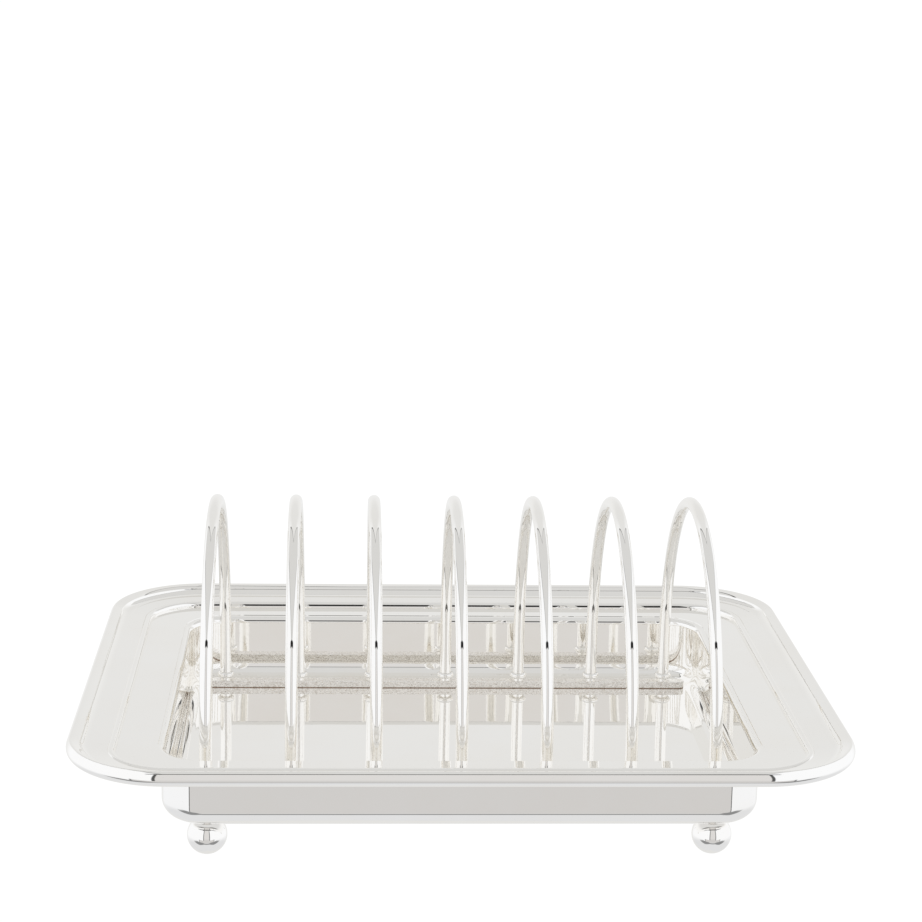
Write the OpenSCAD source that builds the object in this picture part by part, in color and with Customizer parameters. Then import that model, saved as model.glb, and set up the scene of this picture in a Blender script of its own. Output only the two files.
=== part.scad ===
// Toast rack with a footed tray, silver plated. Units are millimetres.
// Origin: middle of the footprint, on the surface the ball feet stand on.
// +Z is up, X runs along the row of arches, Y runs through each arch (rear is +Y).

/* [Feet] */
// ball foot diameter
foot_d = 10.4; // [8:0.1:14]
// worn flat under each ball, diameter
foot_flat_d = 3.6; // [1:0.1:4]
// foot centre distance from the middle, along X
foot_x = 65.7; // [58:0.1:70]
// foot centre distance from the middle, along Y
foot_y = 53.4; // [44:0.1:55]
// depth of the flat seat soldered to the tray, below the top of the ball
foot_seat = 0.4; // [0.2:0.1:1]

/* [Tray] */
// half length of the well, to the inner face of its wall
well_x = 76.3; // [76.3:0.1:79]
// half width of the well, to the inner face of its wall
well_y = 61.4; // [59:0.1:63]
// plan radius of the well corners
well_r = 10.5; // [6:0.5:12]
// depth of the well, from the flange down to its floor
well_depth = 17.7; // [14:0.1:22]
// metal thickness
sheet = 1.2; // [1:0.1:1.6]
// outside radius where the wall turns into the floor
heel_r = 4.9; // [3:0.1:5]
// radius of the rounded edge at the top of the well
lip_r = 2; // [1.8:0.1:3]
// half length over the rim
rim_x = 101; // [99:0.5:104]
// half width over the rim
rim_y = 83.7; // [82:0.1:86]
// plan radius of the rim corners
rim_r = 27; // [24:0.5:32]

/* [Rim border] */
// radius of the outer roll
roll_r = 1.95; // [1.7:0.05:2.1]
// height of the roll centre over the flange
roll_z = 2.15; // [1.95:0.05:2.4]
// radius of the inner bead
bead_r = 1.2; // [1:0.05:1.4]
// distance of the bead centre from the outer edge
bead_w = 11.2; // [10.4:0.1:11.8]
// radius of the hollow between roll and bead
cove_r = 2.9; // [2.6:0.05:3.1]

/* [Rack] */
// distance between arches
pitch = 22; // [20:0.5:22.5]
// how far the loose rack stands forward of the middle of the well
rack_forward = 2; // [0:0.5:3]
// wire diameter
wire_d = 3.4; // [3:0.1:4]
// half span of an arch, to the middle of the wire
arch_b = 50.4; // [46:0.1:53]
// rise of the curved part of an arch
arch_h = 54.4; // [54:0.1:58]
// height of the straight leg, from the well floor to the curve
leg_h = 14.3; // [10:0.1:20]
// foot bar width
bar_w = 3.4; // [3:0.1:4]
// foot bar height
bar_t = 2.1; // [1.8:0.1:3]
// foot bar length
bar_l = 144.8; // [140:0.2:144.8]
// collar bead radius
collar_r = 0.85; // [0.5:0.05:0.9]
// gap between foot bar and collar
waist_h = 0.85; // [0.5:0.05:1.5]
// waist diameter under the collar
waist_d = 2.9; // [2.6:0.1:3.1]
// tenon diameter, riveted through the foot bar
tenon_d = 2.4; // [2:0.1:2.5]

/* [Hidden] */
$fn = 96;
eps = 0.02;
arches = 7;
foot_r = foot_d / 2;
foot_z = sqrt(foot_r * foot_r - foot_flat_d * foot_flat_d / 4);
base_z = foot_z + foot_r - foot_seat;
floor_z = base_z + sheet;
flange_z = floor_z + well_depth;
spring_z = floor_z + leg_h;
// flange plate ends under the border, this far in from the outer edge
flange_w = 6.9;
cove_w = 6;
// the curve is two arcs a side, which meet on a line at a 3 to 4 slope through their centres
arc_gap = (arch_h - arch_b) / 0.4;
side_r = arch_h + 0.4 * arc_gap;
crown_r = arch_h - 0.6 * arc_gap;
crown_z = 0.6 * arc_gap;
side_a = atan2(3, 4);
collar_z = bar_t + waist_h + collar_r;

// X of arch number i, counted from the left
function arch_x(i) = (i - (arches + 1) / 2) * pitch;

// rounded rectangle, half sizes hx and hy
module rounded_2d(hx, hy, r) {
  square([2 * hx - 2 * r, 2 * hy], center = true);
  square([2 * hx, 2 * hy - 2 * r], center = true);
  for (sx = [-1, 1], sy = [-1, 1])
    translate([sx * (hx - r), sy * (hy - r)]) circle(r = r);
}

// sweeps a profile round a rounded rectangle; hx and hy place the corner centres,
// and the profile's x is the distance from a corner centre
module swept_ring(hx, hy) {
  for (q = [[hx, hy, 0], [-hx, hy, 90], [-hx, -hy, 180], [hx, -hy, 270]])
    translate([q[0], q[1], 0]) rotate([0, 0, q[2]]) rotate_extrude(angle = 90) children();
  for (s = [0, 180]) rotate([0, 0, s]) {
    translate([hx, hy, 0]) rotate([90, 0, 0]) linear_extrude(2 * hy) children();
    translate([-hx, hy, 0]) rotate([90, 0, 90]) linear_extrude(2 * hx) children();
  }
}

// one quarter of a ring in the plane, between radii ri and ro, turned by a
module quarter_2d(ri, ro, a) {
  rotate(a) intersection() {
    difference() {
      circle(r = ro);
      circle(r = ri);
    }
    square(ro + 1);
  }
}

// section of the pan from the floor, round the heel, up the wall and over the lip
module well_profile() {
  heel_x = well_r + sheet - heel_r;
  translate([0, base_z]) square([heel_x, sheet]);
  translate([heel_x, base_z + heel_r]) quarter_2d(heel_r - sheet, heel_r, 270);
  translate([well_r, base_z + heel_r]) square([sheet, flange_z - lip_r - base_z - heel_r]);
  translate([well_r + lip_r, flange_z - lip_r]) quarter_2d(lip_r - sheet, lip_r, 90);
}

// drawn pan: floor, wall, rounded lip and the flat flange
module tray_pan() color([0.86, 0.85, 0.82]) {
  cx = well_x - well_r;
  cy = well_y - well_r;
  swept_ring(cx, cy) well_profile();
  translate([-cx, -cy, base_z]) cube([2 * cx, 2 * cy, sheet]);
  translate([0, 0, flange_z - sheet]) linear_extrude(sheet) difference() {
    rounded_2d(rim_x - flange_w, rim_y - flange_w, rim_r - flange_w);
    rounded_2d(well_x + lip_r, well_y + lip_r, well_r + lip_r);
  }
}

// section of the border: outer roll, hollow, sloping band and small inner bead on the flange
module border_profile() {
  translate([rim_r, flange_z]) mirror([1, 0]) {
    translate([roll_r, roll_z]) circle(r = roll_r);
    difference() {
      polygon([[roll_r, roll_z - roll_r], [flange_w - 0.5, 0], [bead_w, 0], [bead_w, 1.2],
        [bead_w - 0.8, 1.2], [cove_w, 1.7], [cove_w, 3.1], [roll_r, 3.1]]);
      translate([cove_w, 1.7 + cove_r]) circle(r = cove_r);
    }
    intersection() {
      translate([bead_w, bead_r * 0.3]) circle(r = bead_r);
      translate([bead_w - 2, 0]) square([4, 3]);
    }
  }
}

// border soldered on the edge of the flange
module rim_border() color([0.88, 0.87, 0.84])
  swept_ring(rim_x - rim_r, rim_y - rim_r) border_profile();

// ball foot with its soldered seat and worn flat; sx and sy pick the corner
module ball_foot(sx, sy) color([0.86, 0.85, 0.83])
  translate([sx * foot_x, sy * foot_y, 0]) intersection() {
    translate([0, 0, foot_z]) sphere(r = foot_r);
    cylinder(r = foot_r + 1, h = base_z);
  }

// flat bar with round ends and a hole for each tenon
module foot_bar(sy) color([0.8, 0.76, 0.7])
  translate([0, sy * arch_b - rack_forward, floor_z]) linear_extrude(bar_t) difference() {
    union() {
      square([bar_l - bar_w, bar_w], center = true);
      for (s = [-1, 1]) translate([s * (bar_l - bar_w) / 2, 0]) circle(d = bar_w);
    }
    for (i = [1:arches]) translate([arch_x(i), 0]) circle(d = tenon_d + eps * 2);
  }

// one leg below the curve: straight wire, waist and tenon
module leg() {
  wire_end = bar_t + waist_h;
  translate([arch_b, 0, 0]) rotate([90, 0, 0]) {
    cylinder(d = wire_d, h = leg_h - wire_end);
    cylinder(d = waist_d, h = leg_h - bar_t);
    cylinder(d = tenon_d, h = leg_h - 0.1);
  }
}

// bent wire arch number i, with its two legs
module arch(i) color([0.88, 0.87, 0.85])
  translate([arch_x(i), -rack_forward, spring_z]) rotate([90, 0, 90]) {
    for (half = [0, 180]) rotate([0, half, 0]) {
      translate([0, crown_z, 0]) rotate([180, 0, 90])
        rotate_extrude(angle = 90 - side_a) translate([crown_r, 0]) circle(d = wire_d);
      translate([arch_b - side_r, 0, 0])
        rotate_extrude(angle = side_a) translate([side_r, 0]) circle(d = wire_d);
      leg();
    }
  }

// bead collar round a leg; sy picks the front or rear leg of arch i
module collar(i, sy) color([0.87, 0.86, 0.83])
  translate([arch_x(i), sy * arch_b - rack_forward, floor_z + collar_z])
    rotate_extrude() difference() {
      translate([wire_d / 2 - 0.05, 0]) circle(r = collar_r);
      translate([0, -1]) square([wire_d / 2 + eps, 2]);
    }

tray_pan();
rim_border();
ball_foot(-1, -1);  // foot_front_left
ball_foot(1, -1);  // foot_front_right
ball_foot(-1, 1);  // foot_rear_left
ball_foot(1, 1);  // foot_rear_right
foot_bar(-1);  // front_bar
foot_bar(1);  // rear_bar
arch(1);  // arch_1
arch(2);  // arch_2
arch(3);  // arch_3
arch(4);  // arch_4
arch(5);  // arch_5
arch(6);  // arch_6
arch(7);  // arch_7
collar(1, -1);  // front_collar_1
collar(2, -1);  // front_collar_2
collar(3, -1);  // front_collar_3
collar(4, -1);  // front_collar_4
collar(5, -1);  // front_collar_5
collar(6, -1);  // front_collar_6
collar(7, -1);  // front_collar_7
collar(1, 1);  // rear_collar_1
collar(2, 1);  // rear_collar_2
collar(3, 1);  // rear_collar_3
collar(4, 1);  // rear_collar_4
collar(5, 1);  // rear_collar_5
collar(6, 1);  // rear_collar_6
collar(7, 1);  // rear_collar_7
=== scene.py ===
import math

import bmesh
import bpy
from mathutils import Matrix, Vector


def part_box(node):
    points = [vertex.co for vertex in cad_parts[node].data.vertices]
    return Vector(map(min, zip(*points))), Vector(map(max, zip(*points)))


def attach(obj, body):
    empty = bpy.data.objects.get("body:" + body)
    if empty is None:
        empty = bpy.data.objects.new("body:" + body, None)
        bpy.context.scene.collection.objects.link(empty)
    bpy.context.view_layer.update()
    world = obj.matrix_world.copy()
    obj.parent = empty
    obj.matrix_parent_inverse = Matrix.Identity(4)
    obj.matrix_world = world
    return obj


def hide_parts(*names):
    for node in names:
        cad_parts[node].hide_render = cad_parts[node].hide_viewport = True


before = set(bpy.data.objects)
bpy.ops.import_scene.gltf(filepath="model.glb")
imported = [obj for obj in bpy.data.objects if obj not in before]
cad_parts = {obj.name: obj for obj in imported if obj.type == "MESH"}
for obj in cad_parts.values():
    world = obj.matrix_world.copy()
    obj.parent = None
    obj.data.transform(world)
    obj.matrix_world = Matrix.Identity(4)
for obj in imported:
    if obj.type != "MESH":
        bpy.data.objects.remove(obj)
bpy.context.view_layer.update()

# ---------------------------------------------------------------- driving dimensions, metres

MM = 0.001

pan_low, pan_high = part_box("tray_pan")
rim_low, rim_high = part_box("rim_border")
bar_low, bar_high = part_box("front_bar")
arch_low, arch_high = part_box("arch_1")

# tray
BASE_Z = pan_low.z
FLANGE_Z = pan_high.z
SHEET = bar_low.z - pan_low.z
FLOOR_Z = BASE_Z + SHEET
RIM_X = rim_high.x
RIM_Y = rim_high.y
RIM_R = 27 * MM
FLANGE_W = RIM_X - pan_high.x
WELL_X = 76.3 * MM
WELL_Y = 61.4 * MM
WELL_R = 10.5 * MM
HEEL_R = 4.9 * MM
LIP_R = 2 * MM

# border: _W is a distance inward from the edge of the rim, _Z a height over the flange, CREST
# how far the crest stands over the roll, and COVE_START the angle in degrees where the cove starts
ROLL_R = 1.95 * MM
ROLL_Z = 2.15 * MM
CREST = 0.3 * MM
CREST_W = 1.1 * MM
SHOULDER_W = 1.65 * MM
COVE_R = 2.9 * MM
COVE_W = 6 * MM
COVE_Z = 4.6 * MM
COVE_START = 204
BEAD_R = 1.2 * MM
BEAD_W = 11.2 * MM
BEAD_Z = 0.36 * MM
BEAD_RISE_Z = 1.2 * MM

# bends of the polished edges: (first angle, last angle, length)
LIP_BENDS = ((60.3, 62.5, 0.16 * MM), (0, 57, 1.75 * MM), (59.5, 63, 0.6 * MM), (65, 90, 0.55 * MM))
ROLL_BENDS = ((0, 56, 0.3 * MM), (58, 72, 1.1 * MM), (72, 90, 1.3 * MM))
BEAD_BENDS = ((0, 56, 0.75 * MM), (59.3, 62.8, 0.95 * MM), (65, 100, 0.3 * MM))
# the bead along the left and right of the rim, where it is plain round
BEAD_SIDE_BENDS = ((0, 30, 0.65 * MM), (30, 60, 0.65 * MM), (60, 90, 0.65 * MM))

# feet
FOOT_R = 5.2 * MM
FOOT_FLAT_R = 1.8 * MM

# arches: a straight leg, an arc of SIDE_R over the angle SIDE_A, and an arc of CROWN_R to the top
ARCHES = 7
WIRE_R = (arch_high.x - arch_low.x) / 2
RACK_Y = (arch_low.y + arch_high.y) / 2
ARCH_B = (arch_high.y - arch_low.y) / 2 - WIRE_R
ARCH_TOP = arch_high.z - WIRE_R
SPRING_Z = FLOOR_Z + 14.3 * MM
ARCH_H = ARCH_TOP - SPRING_Z
# sine and cosine of SIDE_A, and the distance between the middles of the two arcs
JOIN_SIN = 0.6
JOIN_COS = 0.8
ARC_GAP = (ARCH_H - ARCH_B) / (JOIN_SIN + JOIN_COS - 1)
SIDE_R = ARCH_H + (1 - JOIN_SIN) * ARC_GAP
CROWN_R = ARCH_H - JOIN_SIN * ARC_GAP
CROWN_Z = SPRING_Z + JOIN_SIN * ARC_GAP
SIDE_A = math.atan2(JOIN_SIN, JOIN_COS)
# how far the top of a hand-set arch leans along X
LEAN = {1: -0.1 * MM, 2: -0.25 * MM, 3: -0.6 * MM, 4: -0.3 * MM, 5: -0.15 * MM}

# bars, and the foot of each leg: a tenon in the bar, a waist over it, and a collar
BAR_TOP = bar_high.z
BAR_HALF_W = (bar_high.y - bar_low.y) / 2
BAR_EDGE_R = 0.25 * MM
TENON_R = 1.2 * MM
TENON_LOW = FLOOR_Z + 0.1 * MM
WAIST_H = 0.85 * MM
WAIST_R = 1.45 * MM
LEG_LOW = BAR_TOP + WAIST_H
# a collar's section is a disc of COLLAR_R, COLLAR_REACH from the middle of the leg, cut off
# COLLAR_PLAY clear of the wire
COLLAR_R = 0.85 * MM
COLLAR_REACH = 1.65 * MM
COLLAR_PLAY = 0.02 * MM

# edges bent by more than this, in degrees, are shaded sharp
CREASE = 32

# how finely the meshes are cut
CORNER_STEPS = 40
SIDE_STEPS = 30
FLOOR_STEPS = 14
WALL_STEPS = 8
FLANGE_STEPS = 8
HEEL_STEPS = 20
LIP_UNDER_STEPS = 10
BEND_STEPS = 12
ROLL_STEPS = 24
SHOULDER_STEPS = 12
BEAD_STEPS = 10
FOOT_STEPS = 40
LATHE_SIDES = 64
WIRE_SIDES = 48
LEG_STEPS = 8
ARC_STEPS = 30
CROWN_STEPS = 48
COLLAR_STEPS = 20
BAR_EDGE_STEPS = 5
BAR_END_STEPS = 16
BAR_SIDE_STEPS = 60

# ---------------------------------------------------------------- colours and light

SILVER = (0.96, 0.95, 0.928)
SILVER_WARM = (0.95, 0.935, 0.905)
FILED_LOW = (0.84, 0.79, 0.725)
FILED_HIGH = (0.98, 0.962, 0.93)
# painted shade: the brown of the dark line where a bar meets the floor of the pan
BAR_FOOT_SHADE = (0.3, 0.22, 0.17)
# the painted shade at the foot of a bar, a brown line where it stands on the pan, fades out between
# these heights
BAR_FOOT_SHADE_Z = (FLOOR_Z + 0.1 * MM, FLOOR_Z + 0.32 * MM)

# values of a noise between which a smooth change runs from none to all
NOISE_SPAN = (0.3, 0.7)

# wiping scratches: turns of the three directions, stretch, noise values, and effect
SCRATCH_TURNS = ((0.1, 0.2, 0.3), (0.5, 0.1, 1.4), (0.2, 0.7, 2.3))
SCRATCH_STRETCH = (2500.0, 90.0, 2500.0)
SCRATCH_NOISE = (0.66, 0.74)
SCRATCH_ROUGH = 0.03
SCRATCH_DEPTH = 0.00012 * MM
# cloudy patches of the polish: scale, noise values of the warm tone, and roughness
PATCH_SCALE = 35.0
PATCH_TONE = (0.35, 0.7)
PATCH_ROUGH = (0.012, 0.03)
# file marks on the bars: stretch, scale, noise values of the tone, depth, and roughness
GRAIN_STRETCH = (0.6, 1.0, 1.0)
GRAIN_SCALE = 2600.0
GRAIN_TONE = (0.3, 0.52)
GRAIN_DEPTH = 0.03 * MM
GRAIN_ROUGH = (0.45, 0.2)

FLOOR_REACH = 90
FLOOR_GREY = 0.12
FLOOR_GLOW = 0.95

# the studio that the metal mirrors: brightness of each part
SIDE = 1.03
REAR_LOW = 0.87
REAR_HIGH = 0.8
BELOW = 0.8
TOP = 0.71
SEAM_LEFT = 0.1
SEAM_RIGHT = 0.4
BOARD = 0.75
TABLE = 0.655
GAP = 0.1
TOP_GAP = 0.02
TABLE_LINE = 0.28

# tints of the studio
PLAIN_TINT = (1.0, 1.0, 0.995)
SIDE_TINT = (0.975, 0.985, 1.01)
BOARD_TINT = (1.0, 0.985, 0.98)

# where each part is, by direction: x, y and z are those of a line of length 1 from the object.
# The rear gives way to the sides between REAR_SINES of the heading, and toward the front over
# REAR_Y. It changes upward over REAR_Z, and the light below comes in over BELOW_Z.
REAR_SINES = (0.42, 0.75)
REAR_Y = (0.05, -0.1)
REAR_Z = (0.0, 0.5)
BELOW_Z = (-0.25, -0.6)
# the ceiling is over this z, and abs(x) < CEILING_HALF * z + CEILING_TAPER * y
CEILING = 0.41
CEILING_SOFT = 0.015
CEILING_HALF = 0.95
CEILING_TAPER = 0.65
CEILING_SIDE_SOFT = 0.03
# the sweep behind covers the ceiling where abs(x) < SWEEP_SLOPE * (y - SWEEP_END)
SWEEP_END = 0.35
SWEEP_SLOPE = 1.5
SWEEP_SOFT = 0.01
# seams of the ceiling: darkest and ended at these distances from its edges, and faded in by z
SEAM_REACH = (0.025, 0.05)
SEAM_Z = (0.48, 0.56)
SEAM_CHANGE = 0.02
# board and table in front: x / -y and z / -y of their edges, and dark gaps like the seams
BOARD_HALF = 0.3
BOARD_RISE = 0.85
BOARD_DROP = 0.73
BOARD_SOFT = 0.01
BOARD_END_SOFT = 0.02
BOARD_TOP_HALF = 0.5
BOARD_TOP_FADE = 0.1
TABLE_EDGE = -0.365
TABLE_FADE = -0.1
TABLE_HALF = 0.92
GAP_REACH = (0.02, 0.05)
TOP_GAP_REACH = (0.04, 0.07)
# dark edge of the table, on a plane 1 below the object: it is TABLE_LINE_Y ahead, turns back
# from TABLE_LINE_TURN outward, gets thicker over TABLE_LINE_SPAN and ends over TABLE_LINE_ENDS
TABLE_LINE_Y = 1.16
TABLE_LINE_TURN = 0.35
TABLE_LINE_BACK = 0.25
TABLE_LINE_SPAN = (0.25, 0.8)
TABLE_LINE_THICK = (0.13, 0.42)
TABLE_LINE_SOFT = 0.04
TABLE_LINE_ENDS = (2.3, 1.5)

# least values that a direction is divided by
LEAST = 0.0001
LEAST_DEEP = 0.001

CAMERA_PLACE = (-0.03112, -0.62092, 0.23595)
CAMERA_HEADING = -2.961
CAMERA_DOWN = 13.033
CAMERA_ROLL = 1.094
CAMERA_LENS = 90.87


# ---------------------------------------------------------------- mesh helpers

def arc(cx, cz, radius, start, end, steps):
    """Points on a circle in a section plane, from angle start to angle end in degrees."""
    angles = [math.radians(start + (end - start) * k / steps) for k in range(steps + 1)]
    return [(cx + radius * math.cos(a), cz + radius * math.sin(a)) for a in angles]


def turned_edge(bends):
    """A rounded edge from (0, 0) as a run of bends. Each bend is (first angle, last angle, length):
    the angle of its surface from level, in degrees, falling toward +x and -z as it grows."""
    points = [(0, 0)]
    for first, last, length in bends:
        step = length / BEND_STEPS
        for k in range(BEND_STEPS):
            a = math.radians(first + (last - first) * (k + 0.5) / BEND_STEPS)
            x, z = points[-1]
            points.append((x + math.cos(a) * step, z - math.sin(a) * step))
    return points


def fitted(points, end):
    """The same run of points, stretched a little so that it finishes at end."""
    x0, z0 = points[0]
    sx = (end[0] - x0) / (points[-1][0] - x0)
    sz = (end[1] - z0) / (points[-1][1] - z0)
    return [(x0 + (x - x0) * sx, z0 + (z - z0) * sz) for x, z in points]


def loop_points(hx, hy, r, z):
    """A closed loop round a rounded rectangle with half sizes hx and hy, at height z."""
    points = []
    corners = ((1, 1), (-1, 1), (-1, -1), (1, -1))
    for quarter, (sx, sy) in enumerate(corners):
        centre = Vector((sx * (hx - r), sy * (hy - r), z))
        for k in range(CORNER_STEPS + 1):
            a = math.pi / 2 * (quarter + k / CORNER_STEPS)
            points.append(centre + Vector((math.cos(a), math.sin(a), 0)) * r)
        nx, ny = corners[(quarter + 1) % 4]
        a = math.pi / 2 * (quarter + 1)
        start = points[-1]
        end = Vector((nx * (hx - r), ny * (hy - r), z)) + Vector((math.cos(a), math.sin(a), 0)) * r
        points += [start.lerp(end, k / SIDE_STEPS) for k in range(1, SIDE_STEPS)]
    return points


def loft(name, loops, close_ends=False, fill_first=None, fill_last=None):
    """A mesh through a list of closed loops. close_ends joins the last loop to the first;
    fill_first and fill_last are centre points that close an end with a fan."""
    count = len(loops[0])
    verts = [p for loop in loops for p in loop]
    faces = []
    rows = len(loops) if close_ends else len(loops) - 1
    for i in range(rows):
        a = i * count
        b = (i + 1) % len(loops) * count
        for k in range(count):
            n = (k + 1) % count
            faces.append((a + k, a + n, b + n, b + k))
    if fill_first is not None:
        verts.append(fill_first)
        faces += [(len(verts) - 1, (k + 1) % count, k) for k in range(count)]
    if fill_last is not None:
        verts.append(fill_last)
        base = (len(loops) - 1) * count
        faces += [(len(verts) - 1, base + k, base + (k + 1) % count) for k in range(count)]
    mesh = bpy.data.meshes.new(name)
    mesh.from_pydata(verts, [], faces)
    mesh.validate()
    obj = bpy.data.objects.new(name, mesh)
    bpy.context.scene.collection.objects.link(obj)
    return obj


def finish_metal(obj):
    """Outward normals, smooth shading, sharp edges over CREASE, flat areas kept flat."""
    bm = bmesh.new()
    bm.from_mesh(obj.data)
    bmesh.ops.recalc_face_normals(bm, faces=bm.faces)
    for face in bm.faces:
        face.smooth = True
    for edge in bm.edges:
        edge.smooth = len(edge.link_faces) == 2 and edge.calc_face_angle() < math.radians(CREASE)
    bm.to_mesh(obj.data)
    bm.free()
    weighted = obj.modifiers.new("weighted", "WEIGHTED_NORMAL")
    weighted.keep_sharp = True
    return obj


def lathe(name, section, centre, close=False):
    """A mesh turned from a section of (radius, height) points round a vertical line at centre."""
    loops = []
    for radius, height in section:
        loops.append([
            centre + Vector((radius * math.cos(a), radius * math.sin(a), height))
            for a in (2 * math.pi * k / LATHE_SIDES for k in range(LATHE_SIDES))
        ])
    if close:
        return loft(name, loops, close_ends=True)
    first = centre + Vector((0, 0, section[0][1]))
    last = centre + Vector((0, 0, section[-1][1]))
    return loft(name, loops, fill_first=first, fill_last=last)


def middle(node):
    """Middle of a piece of the design in x and y."""
    low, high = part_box(node)
    return (low.x + high.x) / 2, (low.y + high.y) / 2


# ---------------------------------------------------------------- tray

def well_loop(out, z):
    return loop_points(WELL_X + out, WELL_Y + out, WELL_R + out, z)


def rim_loop(inward, z):
    return loop_points(RIM_X - inward, RIM_Y - inward, RIM_R - inward, z)


def rim_ring(front_section, side_section):
    """Loops round the rim from two sections of (distance inward, height over the flange): one for
    the front and rear, one for the left and right. One changes into the other in the corners."""
    shares = [min(max((abs(p.x) - RIM_X + RIM_R) / RIM_R, 0.0), 1.0) for p in rim_loop(0, 0)]
    loops = []
    for (w, z), (side_w, side_z) in zip(front_section, side_section):
        front = rim_loop(w, FLANGE_Z + z)
        side = rim_loop(side_w, FLANGE_Z + side_z)
        loops.append([p.lerp(q, share) for p, q, share in zip(front, side, shares)])
    return loops


def scaled(loop, share):
    return [Vector((p.x * share, p.y * share, p.z)) for p in loop]


def spread(start, end, steps):
    """Heights between start and end, without the two ends."""
    return [start + (end - start) * k / steps for k in range(1, steps)]


def make_pan():
    inner_heel = HEEL_R - SHEET
    wall_low = FLOOR_Z + inner_heel
    wall_high = FLANGE_Z - LIP_R
    inside = arc(-inner_heel, wall_low, inner_heel, 270, 360, HEEL_STEPS)
    inside += [(0, z) for z in spread(wall_low, wall_high, WALL_STEPS)]
    lip = fitted(turned_edge(LIP_BENDS), (LIP_R, -LIP_R))
    inside += [(LIP_R - along, FLANGE_Z + z) for along, z in reversed(lip)]
    outside = arc(LIP_R, wall_high, LIP_R - SHEET, 90, 180, LIP_UNDER_STEPS)
    outside += [(SHEET, z) for z in spread(wall_high, wall_low, WALL_STEPS)]
    outside += arc(SHEET - HEEL_R, BASE_Z + HEEL_R, HEEL_R, 360, 270, HEEL_STEPS)

    well = [well_loop(out, z) for out, z in inside]
    shell = [well_loop(out, z) for out, z in outside]
    floor = [scaled(well[0], k / FLOOR_STEPS) for k in range(1, FLOOR_STEPS)]
    flange_out = rim_loop(FLANGE_W, FLANGE_Z)
    flange = [
        [p.lerp(q, k / FLANGE_STEPS) for p, q in zip(well[-1], flange_out)]
        for k in range(1, FLANGE_STEPS + 1)
    ]
    flange_under = rim_loop(FLANGE_W, FLANGE_Z - SHEET)
    base = [scaled(shell[-1], 1 - k / FLOOR_STEPS) for k in range(1, FLOOR_STEPS)]
    pan = loft(
        "tray_pan_skin", floor + well + flange + [flange_under] + shell + base,
        fill_first=Vector((0, 0, FLOOR_Z)), fill_last=Vector((0, 0, BASE_Z)),
    )
    return finish_metal(pan)


def roll_section():
    """The outer roll, from its underside up to the crest."""
    crest = ROLL_Z + ROLL_R + CREST
    face = fitted(turned_edge(ROLL_BENDS), (CREST_W, ROLL_Z - crest))
    section = arc(ROLL_R, ROLL_Z, ROLL_R, 270, 180, ROLL_STEPS)
    return section + [(CREST_W - along, crest + z) for along, z in reversed(face)][1:]


def cove_section():
    """The hollow inside the roll, with the shoulder that leads down into it from the crest."""
    crest = (CREST_W, ROLL_Z + ROLL_R + CREST)
    control = (SHOULDER_W, crest[1])
    cove = arc(COVE_W, COVE_Z, COVE_R, COVE_START, 270, ROLL_STEPS)
    shoulder = []
    for k in range(1, SHOULDER_STEPS + 1):
        t = k / SHOULDER_STEPS
        shoulder.append(tuple(
            (1 - t) ** 2 * a + 2 * t * (1 - t) * b + t * t * c
            for a, b, c in zip(crest, control, cove[0])
        ))
    return shoulder + cove[1:]


def bead_section(bends):
    """The inner bead, from the sloping band over its top and down to the flange."""
    rise_a = math.degrees(math.asin((BEAD_RISE_Z - BEAD_Z) / BEAD_R))
    rise = arc(BEAD_W, BEAD_Z, BEAD_R, 180 - rise_a, 90, BEAD_STEPS)
    top = BEAD_Z + BEAD_R
    drop = fitted(turned_edge(bends), (BEAD_R, -top))
    return rise + [(BEAD_W + along, top + z) for along, z in drop[1:]]


def make_border():
    outer = roll_section() + cove_section()
    loops = rim_ring(outer + bead_section(BEAD_BENDS), outer + bead_section(BEAD_SIDE_BENDS))
    return finish_metal(loft("rim_border_skin", loops, close_ends=True))


def make_foot(node):
    rise = math.sqrt(FOOT_R ** 2 - FOOT_FLAT_R ** 2)
    start = math.degrees(math.asin(-rise / FOOT_R))
    end = math.degrees(math.asin((BASE_Z - rise) / FOOT_R))
    section = arc(0, rise, FOOT_R, start, end, FOOT_STEPS)
    return finish_metal(lathe(node + "_skin", section, Vector((*middle(node), 0))))


# ---------------------------------------------------------------- rack

def wire_path():
    """Middle line of a half arch as (y, z, angle of the line from vertical, wire radius)."""
    path = [(ARCH_B, TENON_LOW, 0, TENON_R), (ARCH_B, BAR_TOP, 0, TENON_R)]
    path += [(ARCH_B, BAR_TOP, 0, WAIST_R), (ARCH_B, LEG_LOW, 0, WAIST_R)]
    for k in range(LEG_STEPS + 1):
        path.append((ARCH_B, LEG_LOW + (SPRING_Z - LEG_LOW) * k / LEG_STEPS, 0, WIRE_R))
    for k in range(1, ARC_STEPS + 1):
        a = SIDE_A * k / ARC_STEPS
        y = ARCH_B - SIDE_R + SIDE_R * math.cos(a)
        path.append((y, SPRING_Z + SIDE_R * math.sin(a), a, WIRE_R))
    for k in range(1, CROWN_STEPS + 1):
        a = SIDE_A + (math.pi / 2 - SIDE_A) * k / CROWN_STEPS
        path.append((CROWN_R * math.cos(a), CROWN_Z + CROWN_R * math.sin(a), a, WIRE_R))
    return path


def make_arch(i):
    x, _ = middle(f"arch_{i}")
    lean = LEAN.get(i, 0.0)
    side = Vector((1, 0, 0))
    half = wire_path()
    other = [(-y, z, math.pi - a, r) for y, z, a, r in reversed(half[:-1])]
    loops = []
    for y, z, a, r in half + other:
        across = Vector((0, math.cos(a), math.sin(a)))
        rise = max(z - LEG_LOW, 0.0) / (ARCH_TOP - BAR_TOP)
        centre = Vector((x + lean * rise, RACK_Y + y, z))
        loops.append([
            centre + across * (r * math.cos(t)) + side * (r * math.sin(t))
            for t in (2 * math.pi * k / WIRE_SIDES for k in range(WIRE_SIDES))
        ])
    first, last = [Vector((x, RACK_Y + s * ARCH_B, TENON_LOW)) for s in (1, -1)]
    return finish_metal(loft(f"arch_{i}_skin", loops, fill_first=first, fill_last=last))


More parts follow.
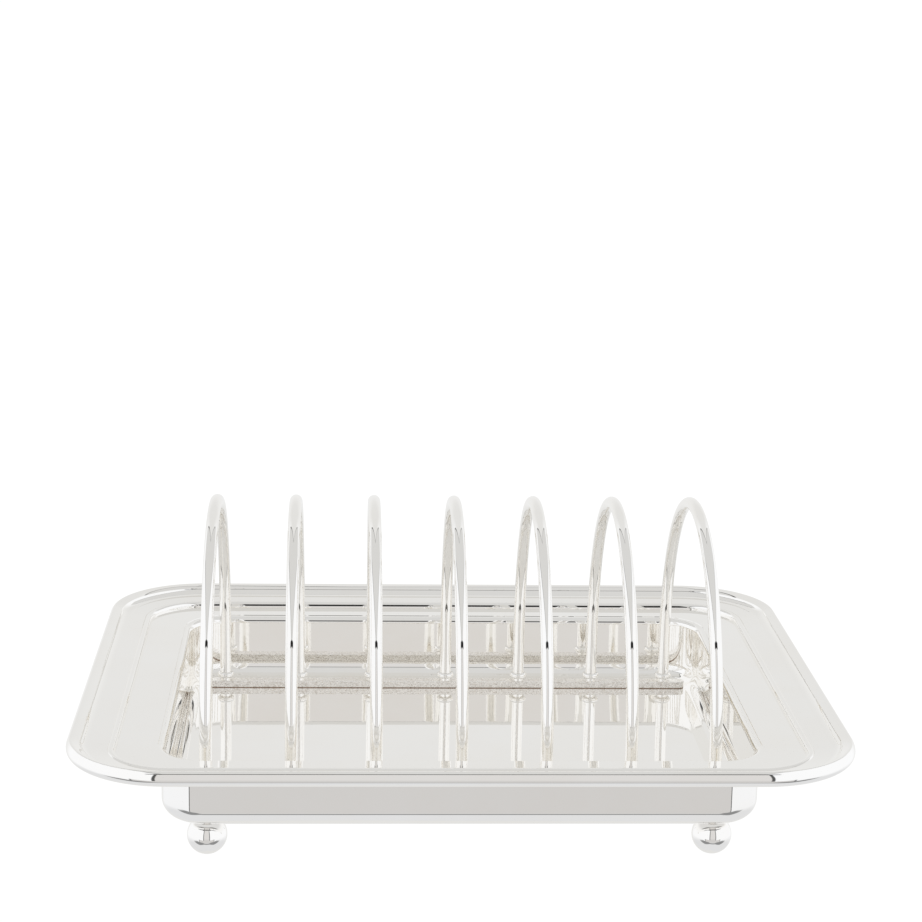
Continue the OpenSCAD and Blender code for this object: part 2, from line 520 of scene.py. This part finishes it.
def make_collar(node):
    cut = math.degrees(math.acos((WIRE_R + COLLAR_PLAY - COLLAR_REACH) / COLLAR_R))
    section = arc(COLLAR_REACH, LEG_LOW + COLLAR_R, COLLAR_R, -cut, cut, COLLAR_STEPS)
    return finish_metal(lathe(node + "_skin", section, Vector((*middle(node), 0)), close=True))


def bar_loop(reach, y, z, inset):
    """A closed loop round a bar with round ends, which are reach out from the middle."""
    loop = []
    for s in (1, -1):
        centre = Vector((s * reach, y, z))
        for k in range(BAR_END_STEPS + 1):
            a = math.pi * (k / BAR_END_STEPS - 0.5 * s)
            loop.append(centre + Vector((math.cos(a), math.sin(a), 0)) * (BAR_HALF_W - inset))
        start = loop[-1]
        end = Vector((-start.x, start.y, z))
        loop += [start.lerp(end, k / BAR_SIDE_STEPS) for k in range(1, BAR_SIDE_STEPS)]
    return loop


def make_bar(node):
    """A file-finished bar with round ends and slightly softened edges."""
    low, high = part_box(node)
    _, y = middle(node)
    reach = high.x - BAR_HALF_W
    loops = [bar_loop(reach, y, low.z, 0)]
    for across, z in arc(0, high.z - BAR_EDGE_R, BAR_EDGE_R, 0, 90, BAR_EDGE_STEPS):
        loops.append(bar_loop(reach, y, z, BAR_EDGE_R - across))
    low_end = Vector((0, y, low.z))
    high_end = Vector((0, y, high.z))
    return finish_metal(loft(node + "_skin", loops, fill_first=low_end, fill_last=high_end))


# ---------------------------------------------------------------- materials

class Graph:
    """Short calls for building a node tree."""

    def __init__(self, tree):
        self.nodes = tree.nodes
        self.links = tree.links

    def put(self, socket, value):
        if isinstance(value, bpy.types.NodeSocket):
            self.links.new(value, socket)
        else:
            socket.default_value = value

    def math(self, operation, a, b=0.0):
        node = self.nodes.new("ShaderNodeMath")
        node.operation = operation
        self.put(node.inputs[0], a)
        self.put(node.inputs[1], b)
        return node.outputs[0]

    def step(self, value, low, high, out_low=0.0, out_high=1.0):
        """A smooth step of value from out_low to out_high between low and high."""
        node = self.nodes.new("ShaderNodeMapRange")
        node.interpolation_type = "SMOOTHSTEP"
        self.put(node.inputs["Value"], value)
        self.put(node.inputs["From Min"], low)
        self.put(node.inputs["From Max"], high)
        self.put(node.inputs["To Min"], out_low)
        self.put(node.inputs["To Max"], out_high)
        return node.outputs["Result"]

    def over(self, value, edge, soft):
        """1 where value is over edge, 0 where it is under, soft to either side."""
        return self.step(value, edge - soft, edge + soft)

    def under(self, value, edge, soft):
        """1 where value is under edge, 0 where it is over, soft to either side."""
        return self.step(value, edge + soft, edge - soft)

    def near(self, value, full, none):
        """1 where value is within full of zero, 0 where it is further than none."""
        return self.step(self.math("ABSOLUTE", value), none, full)

    def blend(self, share, a, b):
        """The value a where share is 0, and b where share is 1."""
        node = self.nodes.new("ShaderNodeMix")
        node.data_type = "FLOAT"
        self.put(node.inputs["Factor"], share)
        self.put(node.inputs[2], a)
        self.put(node.inputs[3], b)
        return node.outputs[0]

    def tint(self, share, a, b):
        """The colour a where share is 0, and b where share is 1."""
        node = self.nodes.new("ShaderNodeMix")
        node.data_type = "RGBA"
        self.put(node.inputs["Factor"], share)
        self.put(node.inputs[6], (*a, 1) if isinstance(a, tuple) else a)
        self.put(node.inputs[7], (*b, 1) if isinstance(b, tuple) else b)
        return node.outputs[2]

    def noise(self, vector, scale, detail=2.0, rough=0.5):
        node = self.nodes.new("ShaderNodeTexNoise")
        self.put(node.inputs["Vector"], vector)
        self.put(node.inputs["Scale"], scale)
        self.put(node.inputs["Detail"], detail)
        self.put(node.inputs["Roughness"], rough)
        return node.outputs["Fac"]

    def stretch(self, vector, turn, scale):
        node = self.nodes.new("ShaderNodeMapping")
        self.put(node.inputs["Vector"], vector)
        self.put(node.inputs["Rotation"], turn)
        self.put(node.inputs["Scale"], scale)
        return node.outputs["Vector"]

    def bump(self, height, distance, normal=None):
        node = self.nodes.new("ShaderNodeBump")
        node.inputs["Distance"].default_value = distance
        self.put(node.inputs["Height"], height)
        if normal is not None:
            self.put(node.inputs["Normal"], normal)
        return node.outputs["Normal"]


def new_material(name):
    material = bpy.data.materials.new(name)
    material.use_nodes = True
    graph = Graph(material.node_tree)
    coords = graph.nodes.new("ShaderNodeTexCoord").outputs["Object"]
    return material, graph, graph.nodes["Principled BSDF"].inputs, coords


def polished_silver(name, wave, wave_scale):
    """Mirror-polished silver plate: soft waves in the sheet, wiping scratches in three
    directions, uneven polish, and a faint warm tarnish in patches."""
    material, g, shader, coords = new_material(name)
    patches = g.noise(coords, PATCH_SCALE, 4.0, 0.6)
    shader["Metallic"].default_value = 1
    g.put(shader["Base Color"], g.tint(g.step(patches, *PATCH_TONE), SILVER, SILVER_WARM))
    scratches = 0.0
    for turn in SCRATCH_TURNS:
        strand = g.noise(g.stretch(coords, turn, SCRATCH_STRETCH), 1.0, 1.0)
        scratches = g.math("ADD", scratches, g.step(strand, *SCRATCH_NOISE))
    dulled = g.math("MULTIPLY", scratches, SCRATCH_ROUGH)
    polish = g.step(patches, *NOISE_SPAN, *PATCH_ROUGH)
    g.put(shader["Roughness"], g.math("ADD", polish, dulled))
    waves = g.bump(g.noise(coords, wave_scale, 1.0, 0.3), wave)
    g.put(shader["Normal"], g.bump(scratches, SCRATCH_DEPTH, waves))
    return material


def filed_silver(name):
    """Silver plate over a filed bar: a grain of short pits, warm in tone, and a brown line
    of painted shade along the foot of the bar, where it stands on the pan."""
    material, g, shader, coords = new_material(name)
    grain = g.noise(g.stretch(coords, (0, 0, 0), GRAIN_STRETCH), GRAIN_SCALE, 2.0, 0.6)
    parts = g.nodes.new("ShaderNodeSeparateXYZ")
    g.put(parts.inputs[0], coords)
    # painted shade: foot darkens the lowest part of the bar, where it meets the pan
    foot = g.step(parts.outputs["Z"], *BAR_FOOT_SHADE_Z, 1.0, 0.0)
    colour = g.tint(g.step(grain, *GRAIN_TONE), FILED_LOW, FILED_HIGH)
    shader["Metallic"].default_value = 1
    g.put(shader["Base Color"], g.tint(foot, colour, BAR_FOOT_SHADE))
    g.put(shader["Roughness"], g.step(grain, *NOISE_SPAN, *GRAIN_ROUGH))
    g.put(shader["Normal"], g.bump(grain, GRAIN_DEPTH))
    return material


pan_silver = polished_silver("pan_silver", wave=0.02 * MM, wave_scale=45.0)
border_silver = polished_silver("border_silver", wave=0.01 * MM, wave_scale=70.0)
foot_silver = polished_silver("foot_silver", wave=0.01 * MM, wave_scale=120.0)
wire_silver = polished_silver("wire_silver", wave=0.012 * MM, wave_scale=130.0)
bar_silver = filed_silver("bar_silver")


def place(piece, body, slot, material, *nodes):
    piece.data.materials.append(material)
    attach(piece, body)
    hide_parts(*nodes)


place(make_pan(), "tray", "pan_silver", pan_silver, "tray_pan")
place(make_border(), "tray", "border_silver", border_silver, "rim_border")
for node in ("foot_front_left", "foot_front_right", "foot_rear_left", "foot_rear_right"):
    place(make_foot(node), "tray", "foot_silver", foot_silver, node)
for node in ("front_bar", "rear_bar"):
    place(make_bar(node), "rack", "bar_silver", bar_silver, node)
for i in range(1, ARCHES + 1):
    place(make_arch(i), "rack", "wire_silver", wire_silver, f"arch_{i}")
    for side in ("front", "rear"):
        node = f"{side}_collar_{i}"
        place(make_collar(node), "rack", "collar_silver", wire_silver, node)

# ---------------------------------------------------------------- camera

camera = bpy.data.objects.new("camera", bpy.data.cameras.new("camera"))
bpy.context.scene.collection.objects.link(camera)
camera.data.sensor_width = 36
camera.data.lens = CAMERA_LENS
camera.data.clip_start = 0.01
camera.data.clip_end = 200
camera.matrix_world = (
    Matrix.Translation(CAMERA_PLACE)
    @ Matrix.Rotation(math.radians(CAMERA_HEADING), 4, "Z")
    @ Matrix.Rotation(math.radians(90 - CAMERA_DOWN), 4, "X")
    @ Matrix.Rotation(math.radians(CAMERA_ROLL), 4, "Z")
)
bpy.context.scene.camera = camera

# ---------------------------------------------------------------- studio

def pale_floor():
    """A white light table; the polished metal sees the white studio below it instead."""
    mesh = bpy.data.meshes.new("floor")
    signs = ((-1, -1), (1, -1), (1, 1), (-1, 1))
    corners = [(sx * FLOOR_REACH, sy * FLOOR_REACH, 0) for sx, sy in signs]
    mesh.from_pydata(corners, [], [(0, 1, 2, 3)])
    floor = bpy.data.objects.new("floor", mesh)
    bpy.context.scene.collection.objects.link(floor)
    floor.visible_glossy = False
    material = bpy.data.materials.new("pale_floor")
    material.use_nodes = True
    shader = material.node_tree.nodes["Principled BSDF"].inputs
    shader["Base Color"].default_value = (FLOOR_GREY, FLOOR_GREY, FLOOR_GREY, 1)
    shader["Roughness"].default_value = 1.0
    shader["Specular IOR Level"].default_value = 0.0
    shader["Emission Color"].default_value = (1, 1, 1, 1)
    shader["Emission Strength"].default_value = FLOOR_GLOW
    mesh.materials.append(material)


def with_walls(g, wide, y, z):
    """Bright sides and a greyer rear, with an even light below. Also gives the share of sides."""
    level = g.math("SQRT", g.math("SUBTRACT", 1 + LEAST, g.math("MULTIPLY", z, z)))
    sideways = g.math("DIVIDE", wide, level)
    sides = g.math("MAXIMUM", g.step(sideways, *REAR_SINES), g.step(y, *REAR_Y))
    rear = g.blend(g.step(z, *REAR_Z), REAR_LOW, REAR_HIGH)
    light = g.blend(sides, rear, SIDE)
    return g.blend(g.step(z, *BELOW_Z), light, BELOW), sides


def with_ceiling(g, light, x, wide, y, z):
    """A grey ceiling that narrows to the front and has a dark seam round it, and a lighter sweep
    that comes over it from behind. Also gives the share of ceiling."""
    half = g.math("ADD", g.math("MULTIPLY", z, CEILING_HALF), g.math("MULTIPLY", y, CEILING_TAPER))
    sweep_half = g.math("MULTIPLY", g.math("SUBTRACT", y, SWEEP_END), SWEEP_SLOPE)
    from_side = g.math("SUBTRACT", wide, half)
    from_sweep = g.math("SUBTRACT", wide, sweep_half)
    inside = g.step(from_side, CEILING_SIDE_SOFT, 0.0)
    ceiling = g.math("MULTIPLY", g.over(z, CEILING, CEILING_SOFT), inside)
    ceiling = g.math("MULTIPLY", ceiling, g.over(from_sweep, 0.0, SWEEP_SOFT))
    light = g.blend(ceiling, light, TOP)

    seam = g.math("MAXIMUM", g.near(from_side, *SEAM_REACH), g.near(from_sweep, *SEAM_REACH))
    seam = g.math("MULTIPLY", seam, ceiling)
    seam = g.math("MULTIPLY", seam, g.step(z, *SEAM_Z))
    seam_light = g.blend(g.over(x, 0.0, SEAM_CHANGE), SEAM_LEFT, SEAM_RIGHT)
    return g.blend(seam, light, seam_light), ceiling


def with_board(g, light, wide, y, z):
    """A grey board and a table in front, with dark gaps round them. Also gives their share."""
    ahead = g.math("MAXIMUM", g.math("MULTIPLY", y, -1.0), LEAST)
    across = g.math("DIVIDE", wide, ahead)
    up = g.math("DIVIDE", z, ahead)
    low_edge = TABLE_EDGE - BOARD_SOFT
    high_edge = TABLE_EDGE + BOARD_SOFT
    half = g.step(up, low_edge, high_edge, TABLE_HALF, BOARD_HALF)
    from_side = g.math("SUBTRACT", across, half)
    above = g.over(up, -BOARD_DROP, BOARD_END_SOFT)
    below = g.under(up, BOARD_RISE, BOARD_END_SOFT)
    tall = g.math("MULTIPLY", above, below)
    board = g.math("MULTIPLY", g.under(from_side, 0.0, BOARD_SOFT), tall)
    light = g.blend(board, light, g.step(up, TABLE_EDGE, TABLE_FADE, TABLE, BOARD))

    gap = g.math("MULTIPLY", g.near(from_side, *GAP_REACH), tall)
    light = g.blend(gap, light, GAP)
    from_top = g.math("SUBTRACT", up, BOARD_RISE)
    top_share = g.step(across, BOARD_TOP_HALF + BOARD_TOP_FADE, BOARD_TOP_HALF)
    top_gap = g.math("MULTIPLY", g.near(from_top, *TOP_GAP_REACH), top_share)
    return g.blend(top_gap, light, TOP_GAP), board


def with_table_line(g, light, wide, y, z):
    """The dark edge of the table, which turns back at its corners."""
    deep = g.math("MAXIMUM", g.math("MULTIPLY", z, -1.0), LEAST_DEEP)
    table_x = g.math("DIVIDE", wide, deep)
    table_y = g.math("DIVIDE", y, deep)
    past_turn = g.math("MAXIMUM", g.math("SUBTRACT", table_x, TABLE_LINE_TURN), 0.0)
    back = g.math("MULTIPLY", past_turn, TABLE_LINE_BACK)
    off_line = g.math("SUBTRACT", g.math("ADD", table_y, TABLE_LINE_Y), back)
    thick = g.step(table_x, *TABLE_LINE_SPAN, *TABLE_LINE_THICK)
    from_edge = g.math("SUBTRACT", g.math("ABSOLUTE", off_line), thick)
    line = g.under(from_edge, 0.0, TABLE_LINE_SOFT)
    line = g.math("MULTIPLY", line, g.step(table_x, *TABLE_LINE_ENDS))
    return g.blend(line, light, TABLE_LINE)


def white_tent():
    """The studio round the object, as a function of direction: bright white sides, a greyer
    rear and ceiling, and a grey board and table in front with dark gaps round them."""
    world = bpy.data.worlds.new("studio")
    bpy.context.scene.world = world
    world.use_nodes = True
    g = Graph(world.node_tree)
    direction = g.nodes.new("ShaderNodeTexCoord").outputs["Generated"]
    parts = g.nodes.new("ShaderNodeSeparateXYZ")
    g.put(parts.inputs[0], direction)
    x, y, z = parts.outputs
    wide = g.math("ABSOLUTE", x)
    light, sides = with_walls(g, wide, y, z)
    light, ceiling = with_ceiling(g, light, x, wide, y, z)
    light, board = with_board(g, light, wide, y, z)
    light = with_table_line(g, light, wide, y, z)

    cool = g.math("MULTIPLY", sides, g.math("SUBTRACT", 1.0, ceiling))
    colour = g.tint(board, g.tint(cool, PLAIN_TINT, SIDE_TINT), BOARD_TINT)
    background = g.nodes["Background"].inputs
    g.put(background["Color"], colour)
    g.put(background["Strength"], light)


pale_floor()
white_tent()

scene = bpy.context.scene
scene.view_settings.view_transform = "Standard"
scene.cycles.max_bounces = 24
scene.cycles.glossy_bounces = 20
